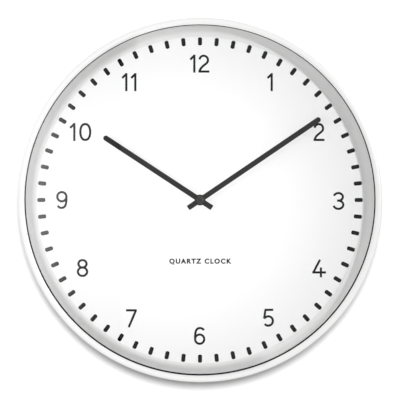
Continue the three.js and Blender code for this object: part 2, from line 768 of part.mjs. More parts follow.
function finish(color, roughness, metalness = 0) {
  return () => new THREE.MeshStandardMaterial({ color, roughness, metalness });
}

const whitePlastic = finish(0xf4f4f2, 0.35);
const dialWhite = finish(0xf8f8f8, 0.6);
const darkSeal = finish(0x2a2a2a, 0.8);
const blackHand = finish(0x333333, 0.5, 0.2);
const blackPlastic = finish(0x202122, 0.55);
const brass = finish(0xb8923f, 0.35, 1);
const steel = finish(0xa8abae, 0.35, 1);
const blackRubber = finish(0x1a1a1a, 0.9);
const gearPlastic = finish(0xe9e6dc, 0.5);
const ferrite = finish(0x2f2d2c, 0.7, 0.3);
const copper = finish(0xb4652f, 0.35, 1);
const boardGreen = finish(0x2f6b3a, 0.6);
const batterySleeve = finish(0x3b3f45, 0.35, 0.4);

function clearPlastic() {
  const clear = { color: 0xffffff, roughness: 0.05, transparent: true, opacity: 0.2 };
  return new THREE.MeshStandardMaterial(clear);
}

// ---------------------------------------------------------------- assembly

const movement = new THREE.Group();
const face = new THREE.Group();
const shell = new THREE.Group();

/** Adds one named piece, with a material of its own, to a group. */
function add(group, name, geometry, material) {
  const mesh = new THREE.Mesh(geometry, material());
  mesh.name = name;
  group.add(mesh);
}

add(shell, "case_ring", caseRing(), whitePlastic);
add(shell, "lens_seal", lensSeal(), darkSeal);
add(shell, "lens", lens(), clearPlastic);
add(shell, "rehaut_ring", rehautRing(), whitePlastic);
add(shell, "back_cover", backCover(), whitePlastic);
screwPlaces().forEach((degrees, i) => {
  add(shell, `back_screw_${i + 1}`, backScrew(degrees), steel);
});

add(face, "dial", dial(), dialWhite);
add(face, "hour_hand", hourHand(), blackHand);
add(face, "minute_hand", minuteHand(), blackHand);
add(face, "hand_cap_nut", handCap(), blackHand);

add(movement, "movement_front_case", movementFrontCase(), blackPlastic);
add(movement, "movement_rear_cover", movementRearCover(), blackPlastic);
add(movement, "threaded_bush", threadedBush(), brass);
add(movement, "rubber_washer", rubberWasher(), blackRubber);
add(movement, "brass_washer", brassWasher(), brass);
add(movement, "mounting_nut", mountingNut(), brass);
add(movement, "rotor_pinion", rotorPinion(), gearPlastic);
add(movement, "rotor_magnet", rotorMagnet(), ferrite);
add(movement, "intermediate_wheel", intermediateWheel(), gearPlastic);
add(movement, "second_wheel", secondWheel(), gearPlastic);
add(movement, "third_wheel", thirdWheel(), gearPlastic);
add(movement, "centre_wheel", centreWheel(), gearPlastic);
add(movement, "friction_spring", frictionSpring(), steel);
add(movement, "cannon_pinion", cannonPinion(), gearPlastic);
add(movement, "motion_wheel", motionWheel(), gearPlastic);
add(movement, "hour_wheel", hourWheel(), gearPlastic);
add(movement, "setting_knob", settingKnob(), blackPlastic);
add(movement, "stator", stator(), steel);
add(movement, "coil_core", coilCore(), steel);
add(movement, "coil_bobbin", coilBobbin(), gearPlastic);
add(movement, "coil_winding", coilWinding(), copper);
add(movement, "circuit_board", circuitBoard(), boardGreen);
add(movement, "chip_blob", chipBlob(), blackPlastic);
add(movement, "quartz_crystal", quartzCrystal(), steel);
add(movement, "battery_contact_positive", positiveContact(), steel);
add(movement, "battery_contact_negative", negativeContact(), steel);
add(movement, "aa_battery", battery(), batterySleeve);

const clock = new THREE.Group();
clock.add(shell, face, movement);
clock.rotation.x = Math.PI / 2;
clock.position.z = -HANG_DROP;

const wallClock = new THREE.Group();
wallClock.name = "wall_clock";
wallClock.add(clock);

export default wallClock;
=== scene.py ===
"""Visual model of the wall clock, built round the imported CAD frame.

Shapes are written in the clock's own millimetres: x to the right and y up from the axis of the hands,
and depth from the wall towards the viewer. to_row() turns them into the row frame, where the wall is
y = 0 and the origin is the hanging keyhole. Sizes that the CAD model already holds are read from its
nodes.
"""

import math

import bmesh
import bpy
from mathutils import Matrix, Vector


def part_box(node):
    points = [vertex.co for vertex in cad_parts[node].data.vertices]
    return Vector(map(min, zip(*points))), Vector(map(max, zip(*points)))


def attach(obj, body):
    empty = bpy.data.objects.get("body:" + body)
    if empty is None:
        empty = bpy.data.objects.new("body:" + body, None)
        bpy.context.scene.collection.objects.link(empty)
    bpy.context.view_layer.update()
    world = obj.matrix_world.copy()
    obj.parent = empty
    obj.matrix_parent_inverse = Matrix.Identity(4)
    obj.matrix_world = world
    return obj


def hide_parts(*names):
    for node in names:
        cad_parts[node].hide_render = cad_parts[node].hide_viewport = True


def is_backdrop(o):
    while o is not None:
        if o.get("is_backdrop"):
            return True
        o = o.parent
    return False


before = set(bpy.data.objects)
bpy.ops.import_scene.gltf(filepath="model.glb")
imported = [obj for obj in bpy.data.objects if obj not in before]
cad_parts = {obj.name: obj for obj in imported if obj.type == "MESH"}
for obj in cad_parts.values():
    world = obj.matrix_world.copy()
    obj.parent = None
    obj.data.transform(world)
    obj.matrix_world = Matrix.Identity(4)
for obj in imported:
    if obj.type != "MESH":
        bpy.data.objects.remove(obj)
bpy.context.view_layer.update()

MM = 0.001


# ------------------------------------------------------------------ sizes read from the CAD frame

def middle(node):
    low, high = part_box(node)
    return (low + high) / 2


AXIS = Vector((middle("dial").x, 0, middle("dial").z))  # where the axis of the hands meets the wall


def depths(node):
    """Rear and front depth of a CAD node, in millimetres from the wall."""
    low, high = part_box(node)
    return -high.y / MM, -low.y / MM


def radius(node):
    low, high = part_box(node)
    return (high.x - low.x) / 2 / MM


def place(node):
    """A CAD node's middle in the clock's own x and y, in millimetres."""
    centre = middle(node) - AXIS
    return centre.x / MM, centre.z / MM


def tip(node):
    """Clockwise angle from twelve and length of a hand."""
    points = [v.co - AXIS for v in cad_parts[node].data.vertices]
    far = max(points, key=lambda p: math.hypot(p.x, p.z))
    return math.atan2(far.x, far.z), math.hypot(far.x, far.z) / MM


def to_row(x, y, depth):
    return AXIS + Vector((x, -depth, y)) * MM


CASE_WALL = 3
BEZEL_WIDTH = 5.6
CASE_FRONT = depths("case_ring")[1]
CASE_RADIUS = radius("case_ring")
CASE_INNER = CASE_RADIUS - CASE_WALL
BEZEL_INNER = CASE_RADIUS - BEZEL_WIDTH
LENS_REAR, LENS_FRONT = depths("lens")
DIAL_EDGE = 136.9  # where the inner ring meets the dial
DIAL_FACE = depths("dial")[1]
INK_GAP = 0.01
INK_THICKNESS = 0.05
INK_LEVEL = 0.004  # step between strokes that cross, so that their faces never coincide
HUB_RADIUS = 4.55
HAND_TAIL = 12
HAND_THICKNESS = 0.6
SHARP_DEGREES = 38


# ------------------------------------------------------------------ mesh helpers

def new_object(name, mesh):
    piece = bpy.data.objects.new(name, mesh)
    bpy.context.scene.collection.objects.link(piece)
    return piece


def shade(mesh, sharp_degrees=SHARP_DEGREES):
    """Smooth shading, with an edge kept sharp where its faces meet at more than the given angle."""
    limit = math.radians(sharp_degrees)
    work = bmesh.new()
    work.from_mesh(mesh)
    bmesh.ops.recalc_face_normals(work, faces=work.faces)
    for face in work.faces:
        face.smooth = True
    for edge in work.edges:
        edge.smooth = not (len(edge.link_faces) == 2 and edge.calc_face_angle(0) > limit)
    work.to_mesh(mesh)
    work.free()


def mesh_from(name, vertices, faces, sharp_degrees=SHARP_DEGREES):
    mesh = bpy.data.meshes.new(name)
    mesh.from_pydata(vertices, [], faces)
    mesh.update()
    shade(mesh, sharp_degrees)
    return mesh


def arc(centre, reach, start, end, steps):
    """Points of an elliptical arc, angles in degrees."""
    reach_x, reach_y = reach if isinstance(reach, tuple) else (reach, reach)
    points = []
    for step in range(steps + 1):
        angle = math.radians(start + (end - start) * step / steps)
        points.append((centre[0] + reach_x * math.cos(angle), centre[1] + reach_y * math.sin(angle)))
    return points


def bezier(a, b, c, d, steps):
    """Points of a cubic curve from a to d."""
    points = []
    for step in range(steps + 1):
        t = step / steps
        weights = ((1 - t) ** 3, 3 * t * (1 - t) ** 2, 3 * t * t * (1 - t), t ** 3)
        points.append(tuple(sum(w * p[k] for w, p in zip(weights, (a, b, c, d))) for k in (0, 1)))
    return points


def rounded(points, fillet=0.3, steps=3, closed=True):
    """The same outline with its sharp corners rounded. An open outline keeps its two ends."""
    result = []
    count = len(points)
    for i, corner in enumerate(points):
        if not closed and i in (0, count - 1):
            result.append(corner)
            continue
        here = Vector(corner)
        before = Vector(points[i - 1]) - here
        after = Vector(points[(i + 1) % count]) - here
        turn = math.pi - before.angle(after, math.pi)
        if turn < math.radians(25):
            result.append(corner)
            continue
        setback = min(fillet * math.tan(turn / 2), 0.45 * before.length, 0.45 * after.length)
        start = here + before.normalized() * setback
        end = here + after.normalized() * setback
        for step in range(steps + 1):
            t = step / steps
            point = start * (1 - t) ** 2 + here * 2 * t * (1 - t) + end * t * t
            result.append((point.x, point.y))
    return result


def turned_mesh(name, profile, segments, axis_at=(0, 0), along="depth", closed=True):
    """A surface of revolution from (radius, depth) points. along is "depth", or "x" for a body that
    lies along x and is centred on axis_at = (y, depth)."""
    vertices = []
    rings = []
    for distance, height in profile:
        if distance < 1e-6:
            spots = [(0.0, 0.0)]
        else:
            turns = [2 * math.pi * i / segments for i in range(segments)]
            spots = [(distance * math.sin(t), distance * math.cos(t)) for t in turns]
        rings.append(range(len(vertices), len(vertices) + len(spots)))
        for u, v in spots:
            if along == "depth":
                vertices.append(to_row(axis_at[0] + u, axis_at[1] + v, height))
            else:
                vertices.append(to_row(height, axis_at[0] + u, axis_at[1] + v))
    faces = []
    links = list(zip(rings, rings[1:]))
    if closed:
        links.append((rings[-1], rings[0]))
    for lower, upper in links:
        for i in range(segments):
            a, b = lower[i % len(lower)], lower[(i + 1) % len(lower)]
            c, d = upper[(i + 1) % len(upper)], upper[i % len(upper)]
            corners = list(dict.fromkeys((a, b, c, d)))
            if len(corners) > 2:
                faces.append(corners)
    return mesh_from(name, vertices, faces)


def turned(name, profile, segments=192, **options):
    return new_object(name, turned_mesh(name, profile, segments, **options))


def circle(distance, count=96, centre=(0, 0)):
    return arc(centre, distance, 0, 360 - 360 / count, count - 1)


def square(half, fillet, steps=6):
    """A square outline with round corners."""
    points = []
    inner = half - fillet
    for start, corner in ((0, (inner, inner)), (90, (-inner, inner)), (180, (-inner, -inner)),
                          (270, (inner, -inner))):
        points += arc(corner, fillet, start, start + 90, steps)
    return points


def upright(mesh, y, depth):
    """Turns a mesh made flat in x and y to face the viewer, and moves it to its height and depth."""
    mesh.transform(Matrix.Translation(to_row(0, y, depth)) @ Matrix.Rotation(math.pi / 2, 4, "X"))


def evaluated_mesh(item):
    """A new mesh of what an object's curve, text or modifiers make."""
    bpy.context.view_layer.update()
    evaluated = item.evaluated_get(bpy.context.evaluated_depsgraph_get())
    return bpy.data.meshes.new_from_object(evaluated)


def slab_mesh(name, outlines, rear, front, bevel=0.2):
    """A flat piece between two depths, its edges rounded, from an outline and the holes in it."""
    curve = bpy.data.curves.new(name, "CURVE")
    curve.dimensions = "2D"
    curve.fill_mode = "BOTH"
    curve.extrude = ((front - rear) / 2 - bevel) * MM
    curve.bevel_depth = bevel * MM
    curve.bevel_resolution = 1
    curve.offset = -bevel * MM
    for outline in outlines:
        spline = curve.splines.new("POLY")
        spline.points.add(len(outline) - 1)
        for point, (x, y) in zip(spline.points, outline):
            point.co = (x * MM, y * MM, 0, 1)
        spline.use_cyclic_u = True
    carrier = new_object(name, curve)
    mesh = evaluated_mesh(carrier)
    bpy.data.objects.remove(carrier)
    bpy.data.curves.remove(curve)
    upright(mesh, 0, (rear + front) / 2)
    weld(mesh)
    mesh.name = name
    return mesh


def weld(mesh):
    distance = 0.002 * MM
    work = bmesh.new()
    work.from_mesh(mesh)
    bmesh.ops.remove_doubles(work, verts=work.verts, dist=distance)
    bmesh.ops.dissolve_degenerate(work, edges=work.edges, dist=distance)
    work.to_mesh(mesh)
    work.free()
    shade(mesh)


def joined(name, meshes):
    """One object out of several meshes."""
    work = bmesh.new()
    for mesh in meshes:
        work.from_mesh(mesh)
        bpy.data.meshes.remove(mesh)
    mesh = bpy.data.meshes.new(name)
    work.to_mesh(mesh)
    work.free()
    return new_object(name, mesh)


# ------------------------------------------------------------------ materials

def node_material(name):
    material = bpy.data.materials.new(name)
    material.use_nodes = True
    tree = material.node_tree
    return material, tree, tree.nodes["Principled BSDF"]


def noise(tree, scale, detail=4.0, roughness=0.55, stretch=(1, 1, 1)):
    """Noise over object coordinates, in cycles a metre, optionally stretched along an axis."""
    coordinates = tree.nodes.new("ShaderNodeTexCoord")
    mapping = tree.nodes.new("ShaderNodeMapping")
    mapping.inputs["Scale"].default_value = stretch
    texture = tree.nodes.new("ShaderNodeTexNoise")
    texture.inputs["Scale"].default_value = scale
    texture.inputs["Detail"].default_value = detail
    texture.inputs["Roughness"].default_value = roughness
    tree.links.new(coordinates.outputs["Object"], mapping.inputs["Vector"])
    tree.links.new(mapping.outputs["Vector"], texture.inputs["Vector"])
    return texture.outputs["Fac"]


def ramp(tree, source, stops):
    """A colour or value that follows source through (position, value) stops."""
    node = tree.nodes.new("ShaderNodeValToRGB")
    for element, (position, value) in zip(node.color_ramp.elements, (stops[0], stops[-1])):
        element.position = position
        element.color = (*value, 1) if isinstance(value, tuple) else (value, value, value, 1)
    for position, value in stops[1:-1]:
        element = node.color_ramp.elements.new(position)
        element.color = (*value, 1) if isinstance(value, tuple) else (value, value, value, 1)
    tree.links.new(source, node.inputs["Fac"])
    return node.outputs["Color"]


def bump(tree, shader, source, height_mm):
    node = tree.nodes.new("ShaderNodeBump")
    node.inputs["Strength"].default_value = 1
    node.inputs["Distance"].default_value = height_mm * MM
    tree.links.new(source, node.inputs["Height"])
    tree.links.new(node.outputs["Normal"], shader.inputs["Normal"])


def arithmetic(tree, operation, first, second):
    """A Math node; each input is a number or another node's output."""
    node = tree.nodes.new("ShaderNodeMath")
    node.operation = operation
    for socket, value in zip(node.inputs, (first, second)):
        if isinstance(value, (int, float)):
            socket.default_value = value
        else:
            tree.links.new(value, socket)
    return node


def send_mix(tree, factor, first, second, output):
    """Mixes two shaders and sends the result to the output node."""
    mix = tree.nodes.new("ShaderNodeMixShader")
    tree.links.new(factor, mix.inputs["Fac"])
    tree.links.new(first, mix.inputs[1])
    tree.links.new(second, mix.inputs[2])
    tree.links.new(mix.outputs["Shader"], output.inputs["Surface"])


def tinted(colour, factor):
    return tuple(min(1, channel * factor) for channel in colour)


def surface(name, colour, roughness, grain, height_mm, metallic=0.0, variation=0.04, spread=0.06,
            stretch=(1, 1, 1), specular=0.5):
    """A solid material: colour and roughness that wander a little, and a fine grain in the surface."""
    material, tree, shader = node_material(name)
    broad = noise(tree, grain / 18, 3)
    fine = noise(tree, grain, 5, 0.6, stretch)
    shades = [(0.3, tinted(colour, 1 - variation)), (0.7, tinted(colour, 1 + variation * 0.5))]
    tree.links.new(ramp(tree, broad, shades), shader.inputs["Base Color"])
    gloss = [(0.3, max(0.02, roughness - spread)), (0.7, min(1, roughness + spread))]
    tree.links.new(ramp(tree, fine, gloss), shader.inputs["Roughness"])
    bump(tree, shader, fine, height_mm)
    shader.inputs["Metallic"].default_value = metallic
    shader.inputs["Specular IOR Level"].default_value = specular
    return material


def clear_cover(name):
    """Thin clear cover: its two faces mirror a little, more at a slant, and it is clear otherwise."""
    material, tree, mirror = node_material(name)
    mirror.inputs["Base Color"].default_value = (1, 1, 1, 1)
    mirror.inputs["Metallic"].default_value = 1
    mirror.inputs["Roughness"].default_value = 0
    bump(tree, mirror, noise(tree, 60, 3), 0.002)
    fresnel = tree.nodes.new("ShaderNodeFresnel")
    fresnel.inputs["IOR"].default_value = 1.49
    side = tree.nodes.new("ShaderNodeNewGeometry")
    front = arithmetic(tree, "SUBTRACT", 1, side.outputs["Backfacing"])
    one_face = arithmetic(tree, "MULTIPLY", fresnel.outputs["Fac"], front.outputs["Value"])
    both_faces = arithmetic(tree, "MULTIPLY", one_face.outputs["Value"], 1.9)
    both_faces.use_clamp = True
    clear = tree.nodes.new("ShaderNodeBsdfTransparent").outputs["BSDF"]
    share = both_faces.outputs["Value"]
    send_mix(tree, share, clear, mirror.outputs["BSDF"], tree.nodes["Material Output"])
    return material


MATERIALS = {
    "case_plastic": surface(
        "white_case_plastic", (0.92, 0.92, 0.915), 0.3, 1400, 0.0015, variation=0.01,
    ),
    # The inner ring's plastic is greyer than the case's (0.82 against 0.92): painted shade on the wall of
    # the recess between lens and dial.
    "rehaut_plastic_shade_grey": surface(
        "inner_ring_plastic_shade_grey", (0.82, 0.82, 0.815), 0.5, 1600, 0.005, variation=0.012,
    ),
    "back_plastic": surface("white_back_plastic", (0.83, 0.83, 0.82), 0.5, 1100, 0.02, variation=0.02),
    "lens": clear_cover("clear_lens"),
    "lens_seal": surface(
        "black_seal_rubber", (0.012, 0.012, 0.013), 0.8, 900, 0.01, variation=0.15, specular=0.2,
    ),
    "dial": surface("white_dial_card", (0.92, 0.92, 0.92), 0.65, 2600, 0.004, variation=0.008),
    "dial_ink": surface(
        "black_dial_ink", (0.006, 0.006, 0.0065), 0.75, 3000, 0.003, variation=0.15, specular=0.08,
    ),
    "hands": surface(
        "black_hand_paint", (0.015, 0.015, 0.0155), 0.5, 2200, 0.003, variation=0.08, specular=0.25,
    ),
    # The cap's black is twice as light as the hands' black: a painted highlight on the domed cap.
    "hand_cap": surface(
        "black_cap_paint_with_painted_highlight", (0.03, 0.03, 0.031), 0.35, 2200, 0.003, variation=0.08, specular=0.5,
    ),
    "movement_plastic": surface(
        "black_movement_plastic", (0.022, 0.022, 0.024), 0.5, 1200, 0.02, variation=0.15,
    ),
    "knob_plastic": surface(
        "black_knob_plastic", (0.03, 0.03, 0.032), 0.42, 1500, 0.01, variation=0.15,
    ),
    "brass": surface(
        "turned_brass", (0.78, 0.58, 0.27), 0.26, 700, 0.004, metallic=1, stretch=(1, 9, 1),
    ),
    "rubber": surface("black_rubber", (0.02, 0.02, 0.02), 0.8, 1000, 0.012, variation=0.15),
    "iron": surface("stamped_iron", (0.5, 0.5, 0.5), 0.4, 900, 0.006, metallic=1, stretch=(1, 1, 7)),
    "spring_steel": surface(
        "plated_steel", (0.7, 0.69, 0.66), 0.25, 900, 0.003, metallic=1, stretch=(6, 1, 1),
    ),
    "screw_steel": surface(
        "zinc_plated_steel", (0.68, 0.69, 0.7), 0.3, 1300, 0.004, metallic=1, variation=0.1,
    ),
    "circuit_board": surface(
        "green_circuit_board", (0.02, 0.16, 0.06), 0.35, 1500, 0.01, variation=0.2,
    ),
    "epoxy": surface("black_epoxy", (0.015, 0.015, 0.016), 0.3, 500, 0.02, variation=0.2),
    "gear_plastic": surface(
        "acetal_gear_plastic", (0.78, 0.75, 0.66), 0.4, 1200, 0.006, variation=0.03,
    ),
    "magnet": surface(
        "dark_ferrite", (0.05, 0.048, 0.047), 0.55, 1600, 0.02, metallic=0.4, variation=0.2,
    ),
    "battery_steel": surface("battery_end_steel", (0.72, 0.72, 0.73), 0.24, 900, 0.003, metallic=1),
}


def winding_wire():
    """Fine enamelled wire laid round the coil: ridges every tenth of a millimetre along x."""
    material, tree, shader = node_material("enamelled_copper_wire")
    coordinates = tree.nodes.new("ShaderNodeTexCoord")
    wave = tree.nodes.new("ShaderNodeTexWave")
    wave.wave_type = "BANDS"
    wave.bands_direction = "X"
    wave.inputs["Scale"].default_value = 3200
    wave.inputs["Distortion"].default_value = 0.6
    tree.links.new(coordinates.outputs["Object"], wave.inputs["Vector"])
    # Dark in the grooves and bright on the ridges, the same bands as the bump: painted shade between the
    # turns and a painted highlight on their tops.
    groove_shade_ridge_highlight = [(0.0, (0.2, 0.05, 0.02)), (0.5, (0.6, 0.22, 0.08)), (1.0, (0.85, 0.4, 0.18))]
    tree.links.new(ramp(tree, wave.outputs["Fac"], groove_shade_ridge_highlight), shader.inputs["Base Color"])
    bump(tree, shader, wave.outputs["Fac"], 0.04)
    shader.inputs["Metallic"].default_value = 0.9
    shader.inputs["Roughness"].default_value = 0.3
    return material


def battery_print():
    """Printed sleeve: dark grey, with a pale band at the button end and a fine metallic fleck."""
    material, tree, shader = node_material("printed_battery_sleeve")
    coordinates = tree.nodes.new("ShaderNodeTexCoord")
    separate = tree.nodes.new("ShaderNodeSeparateXYZ")
    tree.links.new(coordinates.outputs["Object"], separate.inputs["Vector"])
    low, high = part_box("aa_battery")
    place_along = tree.nodes.new("ShaderNodeMapRange")
    place_along.inputs["From Min"].default_value = low.x
    place_along.inputs["From Max"].default_value = high.x
    tree.links.new(separate.outputs["X"], place_along.inputs["Value"])
    body, band, thin = (0.035, 0.038, 0.045), (0.62, 0.6, 0.55), (0.3, 0.3, 0.3)
    stops = [(0.0, body), (0.715, body), (0.72, thin), (0.735, thin), (0.74, band), (1.0, band)]
    print_colour = ramp(tree, place_along.outputs["Result"], stops)
    fleck = ramp(tree, noise(tree, 2600, 4), [(0.35, 0.85), (0.7, 1.0)])
    mix = tree.nodes.new("ShaderNodeMix")
    mix.data_type = "RGBA"
    mix.blend_type = "MULTIPLY"
    mix.inputs["Factor"].default_value = 1
    tree.links.new(print_colour, mix.inputs["A"])
    tree.links.new(fleck, mix.inputs["B"])
    tree.links.new(mix.outputs["Result"], shader.inputs["Base Color"])
    bump(tree, shader, noise(tree, 500, 3), 0.02)
    shader.inputs["Metallic"].default_value = 0.35
    shader.inputs["Roughness"].default_value = 0.28
    shader.inputs["Coat Weight"].default_value = 0.5
    return material


MATERIALS["copper"] = winding_wire()
MATERIALS["battery"] = battery_print()


def keep_faces_flat(piece):
    """Shades a broad flat face flat right up to its rounded edge."""
    normals = piece.modifiers.new("flat_faces", "WEIGHTED_NORMAL")
    normals.keep_sharp = True


def finish_piece(piece, material, body, slot, *nodes):
    """Gives a new piece its material, its CAD body and the CAD nodes it stands for. The slot argument is
    not used.
    """
    piece.data.materials.clear()
    piece.data.materials.append(MATERIALS[material])
    keep_faces_flat(piece)
    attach(piece, body)
    if nodes:
        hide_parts(*nodes)
    return piece


# ------------------------------------------------------------------ case, inner ring, lens and dial

def screw_nodes():
    return [f"back_screw_{i}" for i in range(1, 7)]


def case_ring():
    """Outer shell: round front rim, thin lip over the lens, and the six screw bosses inside."""
    lip_thickness = 2.7
    slope = 24.2  # degrees, at both ends of the domed front
    outer_fillet, inner_fillet = 0.9, 0.4
    lip_underside = CASE_FRONT - lip_thickness
    sine, cosine = math.sin(math.radians(slope)), math.cos(math.radians(slope))
    left = BEZEL_INNER + inner_fillet * (1 - sine)
    right = CASE_RADIUS - outer_fillet * (1 - sine)
    dome = (right - left) / 2 / sine
    dome_centre = ((left + right) / 2, CASE_FRONT - dome)
    shoulder = dome_centre[1] + dome * cosine
    outer_centre = (CASE_RADIUS - outer_fillet, shoulder - outer_fillet * cosine)
    inner_centre = (BEZEL_INNER + inner_fillet, shoulder - inner_fillet * cosine)
    front_edge = (
        arc(outer_centre, outer_fillet, 0, 90 - slope, 6)
        + arc(dome_centre, dome, 90 - slope, 90 + slope, 14)[1:]
        + arc(inner_centre, inner_fillet, 90 + slope, 180, 6)[1:]
    )
    profile = [
        (CASE_INNER, 0),
        (CASE_RADIUS - 0.5, 0),
        (CASE_RADIUS - 0.1, 0.15),
        (CASE_RADIUS, 0.5),
        *front_edge,
        (BEZEL_INNER, lip_underside),
        (CASE_INNER, lip_underside),
    ]
    meshes = [turned_mesh("case_ring_wall", profile, 256)]
    rear, front, bore, boss = 4.9, 20, 1.6, 3
    rib_thickness, rib_overlap = 3, 0.6  # each rib runs into its boss and into the wall
    for node in screw_nodes():
        x, y = place(node)
        outward = Vector((x, y)).normalized()
        tube = rounded([(bore, rear), (boss, rear), (boss, front), (bore, front)], 0.3)
        meshes.append(turned_mesh("screw_boss", tube, 32, axis_at=(x, y)))
        side = Vector((-outward.y, outward.x)) * rib_thickness / 2
        root = Vector((x, y)) + outward * (boss - rib_overlap)
        wall = outward * (CASE_INNER + rib_overlap)
        rib = [root + side, root - side, wall - side, wall + side]
        meshes.append(slab_mesh("screw_rib", [[(p.x, p.y) for p in rib]], rear, front, 0.15))
    piece = joined("case_ring_shell", meshes)
    return finish_piece(piece, "case_plastic", "case", "case_plastic", "case_ring")


def rehaut_ring():
    """White wall from the dial to the lens: a slope of 60 degrees that bends into the dial's plane."""
    foot, top = depths("rehaut_ring")
    rim, edge_height, thickness, flange_thickness = BEZEL_INNER - 0.2, 0.4, 1.6, 1.3
    slope = math.radians(60)
    across, rise = rim - DIAL_EDGE, top - foot - edge_height
    bend = (across * math.sin(slope) - rise * math.cos(slope)) / (1 - math.cos(slope))
    centre = (DIAL_EDGE, foot + edge_height + bend)
    outer_bend = bend + thickness
    outer_start = math.degrees(math.acos((bend + edge_height) / outer_bend))
    outer_arc = arc(centre, outer_bend, outer_start - 90, math.degrees(slope) - 90, 8)
    under_flange = top - flange_thickness
    outer_top = outer_arc[-1][0] + (under_flange - outer_arc[-1][1]) / math.tan(slope)
    flange = radius("rehaut_ring")
    profile = [
        (DIAL_EDGE, foot),
        *outer_arc,
        (outer_top, under_flange),
        (flange, under_flange),
        (flange, top),
        (rim, top),
        *arc(centre, bend, math.degrees(slope) - 90, -90, 16),
    ]
    piece = turned("inner_ring", profile, 256)
    return finish_piece(piece, "rehaut_plastic_shade_grey", "case", "case_plastic", "rehaut_ring")


def lens():
    edge = radius("lens")
    profile = [(0, LENS_REAR), (edge, LENS_REAR), (edge, LENS_FRONT), (0, LENS_FRONT)]
    piece = turned("lens_disc", rounded(profile, 0.3, closed=False), 256, closed=False)
    return finish_piece(piece, "lens", "case", "lens", "lens")


def lens_seal():
    # The seal is real. Drawn 0.95 mm past the lip and moved 0.35 mm up, its black band is wider at the
    # bottom: a painted shadow line in the gap under the lip.
    proud_as_shadow_line, clearance, offset = 0.95, 0.4, 0.35  # past the lip, round the outside, and upwards
    rear, front = depths("lens_seal")
    inner, outer = BEZEL_INNER - proud_as_shadow_line, radius("lens_seal") - clearance
    profile = [(inner, rear), (outer, rear), (outer, front), (inner, front)]
    piece = turned("lens_gasket", rounded(profile, 0.15), 256, axis_at=(0, offset))
    return finish_piece(piece, "lens_seal", "case", "lens_seal", "lens_seal")


def dial():
    rear, front = depths("dial")
    outer, hole = radius("dial"), 4.25
    profile = rounded([(hole, rear), (outer, rear), (outer, front), (hole, front)], 0.12)
    piece = turned("dial_plate", profile, 192)
    return finish_piece(piece, "dial", "case", "dial", "dial")


# ------------------------------------------------------------------ printing on the dial

def ink_mesh(name, outline):
    """A printed shape: the outline as a film on the dial's face."""
    rear = DIAL_FACE + INK_GAP
    front = DIAL_FACE + INK_THICKNESS
    count = len(outline)
    vertices = [to_row(x, y, rear) for x, y in outline] + [to_row(x, y, front) for x, y in outline]
    faces = [list(range(count)), list(range(count, 2 * count))]
    faces += [[i, (i + 1) % count, count + (i + 1) % count, count + i] for i in range(count)]
    return mesh_from(name, vertices, faces)


def ribbon_mesh(name, points, width, closed=False, level=0):
    """A pen stroke of even width along points, with square ends, as a film on the dial's face."""
    count = len(points)
    sides = []
    for i, point in enumerate(points):
        here = Vector(point)
        back = here - Vector(points[i - 1]) if closed or i else None
        ahead = Vector(points[(i + 1) % count]) - here if closed or i < count - 1 else None
        before = (back or ahead).normalized()
        after = (ahead or back).normalized()
        across = Vector((-(before + after).y, (before + after).x)).normalized()
        reach = width / 2 / max(0.4, across.dot(Vector((-after.y, after.x))))
        sides.append((here + across * reach, here - across * reach))
    rear = DIAL_FACE + INK_GAP
    front = DIAL_FACE + INK_THICKNESS + INK_LEVEL * level
    vertices = []
    for left, right in sides:
        vertices += [
            to_row(left.x, left.y, rear),
            to_row(right.x, right.y, rear),
            to_row(right.x, right.y, front),
            to_row(left.x, left.y, front),
        ]
    faces = []
    for i in range(count if closed else count - 1):
        a, b = 4 * i, 4 * ((i + 1) % count)
        faces += [[a + k, a + (k + 1) % 4, b + (k + 1) % 4, b + k] for k in range(4)]
    if not closed:
        last = 4 * (count - 1)
        faces += [[0, 1, 2, 3], [last, last + 1, last + 2, last + 3]]
    return mesh_from(name, vertices, faces, 60)


def minute_marks():
    """Sixty equal tablets with rounded corners round the dial's edge."""
    inner, outer, width, corner = 129.6, 136.4, 3.4, 1.3
    low, high = inner + corner, outer - corner
    side = width / 2 - corner
    tablet = (
        arc((side, low), corner, -90, 0, 5)
        + arc((side, high), corner, 0, 90, 5)
        + arc((-side, high), corner, 90, 180, 5)
        + arc((-side, low), corner, 180, 270, 5)
    )
    meshes = []
    for minute in range(60):
        turn = Matrix.Rotation(-math.radians(6 * minute), 2)
        outline = [tuple(turn @ Vector(point)) for point in tablet]
        meshes.append(ink_mesh("minute_mark", outline))
    piece = joined("minute_marks", meshes)
    return finish_piece(piece, "dial_ink", "case", "dial")


NUMERAL_HEIGHT = 15.1
STROKE = 1.85
LOW = STROKE / 2
HIGH = NUMERAL_HEIGHT - STROKE / 2

# Each figure is its width and its pen strokes, from its lower left corner, as (points, closed).
# LOW and HIGH are the middles of a stroke that lies along the bottom and along the top.


def strokes_one():
    stem = 5.05 - LOW
    return 5.05, [
        ([(stem, 0), (stem, NUMERAL_HEIGHT)], False),
        ([(stem, 14.3), (0.65, 10.95)], False),
    ]


def strokes_two():
    bowl = arc((4.55, 10.55), (3.55, HIGH - 10.55), 172, -30, 20)
    slope = bezier(bowl[-1], (6.6, 6.9), (1.6, 5.0), (LOW + 0.15, LOW), 14)
    return 9.3, [(bowl + slope[1:], False), ([(0.1, LOW), (9.3, LOW)], False)]


def strokes_three():
    waist = 7.8
    top = arc((4.75, (HIGH + waist) / 2), (3.75, (HIGH - waist) / 2), 165, -90, 22)
    bottom = arc((4.75, (LOW + waist) / 2), (4.1, (waist - LOW) / 2), 90, -166, 22)
    return 9.5, [(top, False), (bottom, False), ([(3.6, waist), (4.75, waist)], False)]


def strokes_four():
    bar = 4.15
    return 11.5, [
        ([(6.5, NUMERAL_HEIGHT - 0.3), (LOW + 0.1, bar)], False),
        ([(0.1, bar), (11.5, bar)], False),
        ([(7.3, 0), (7.3, 8.3)], False),
    ]


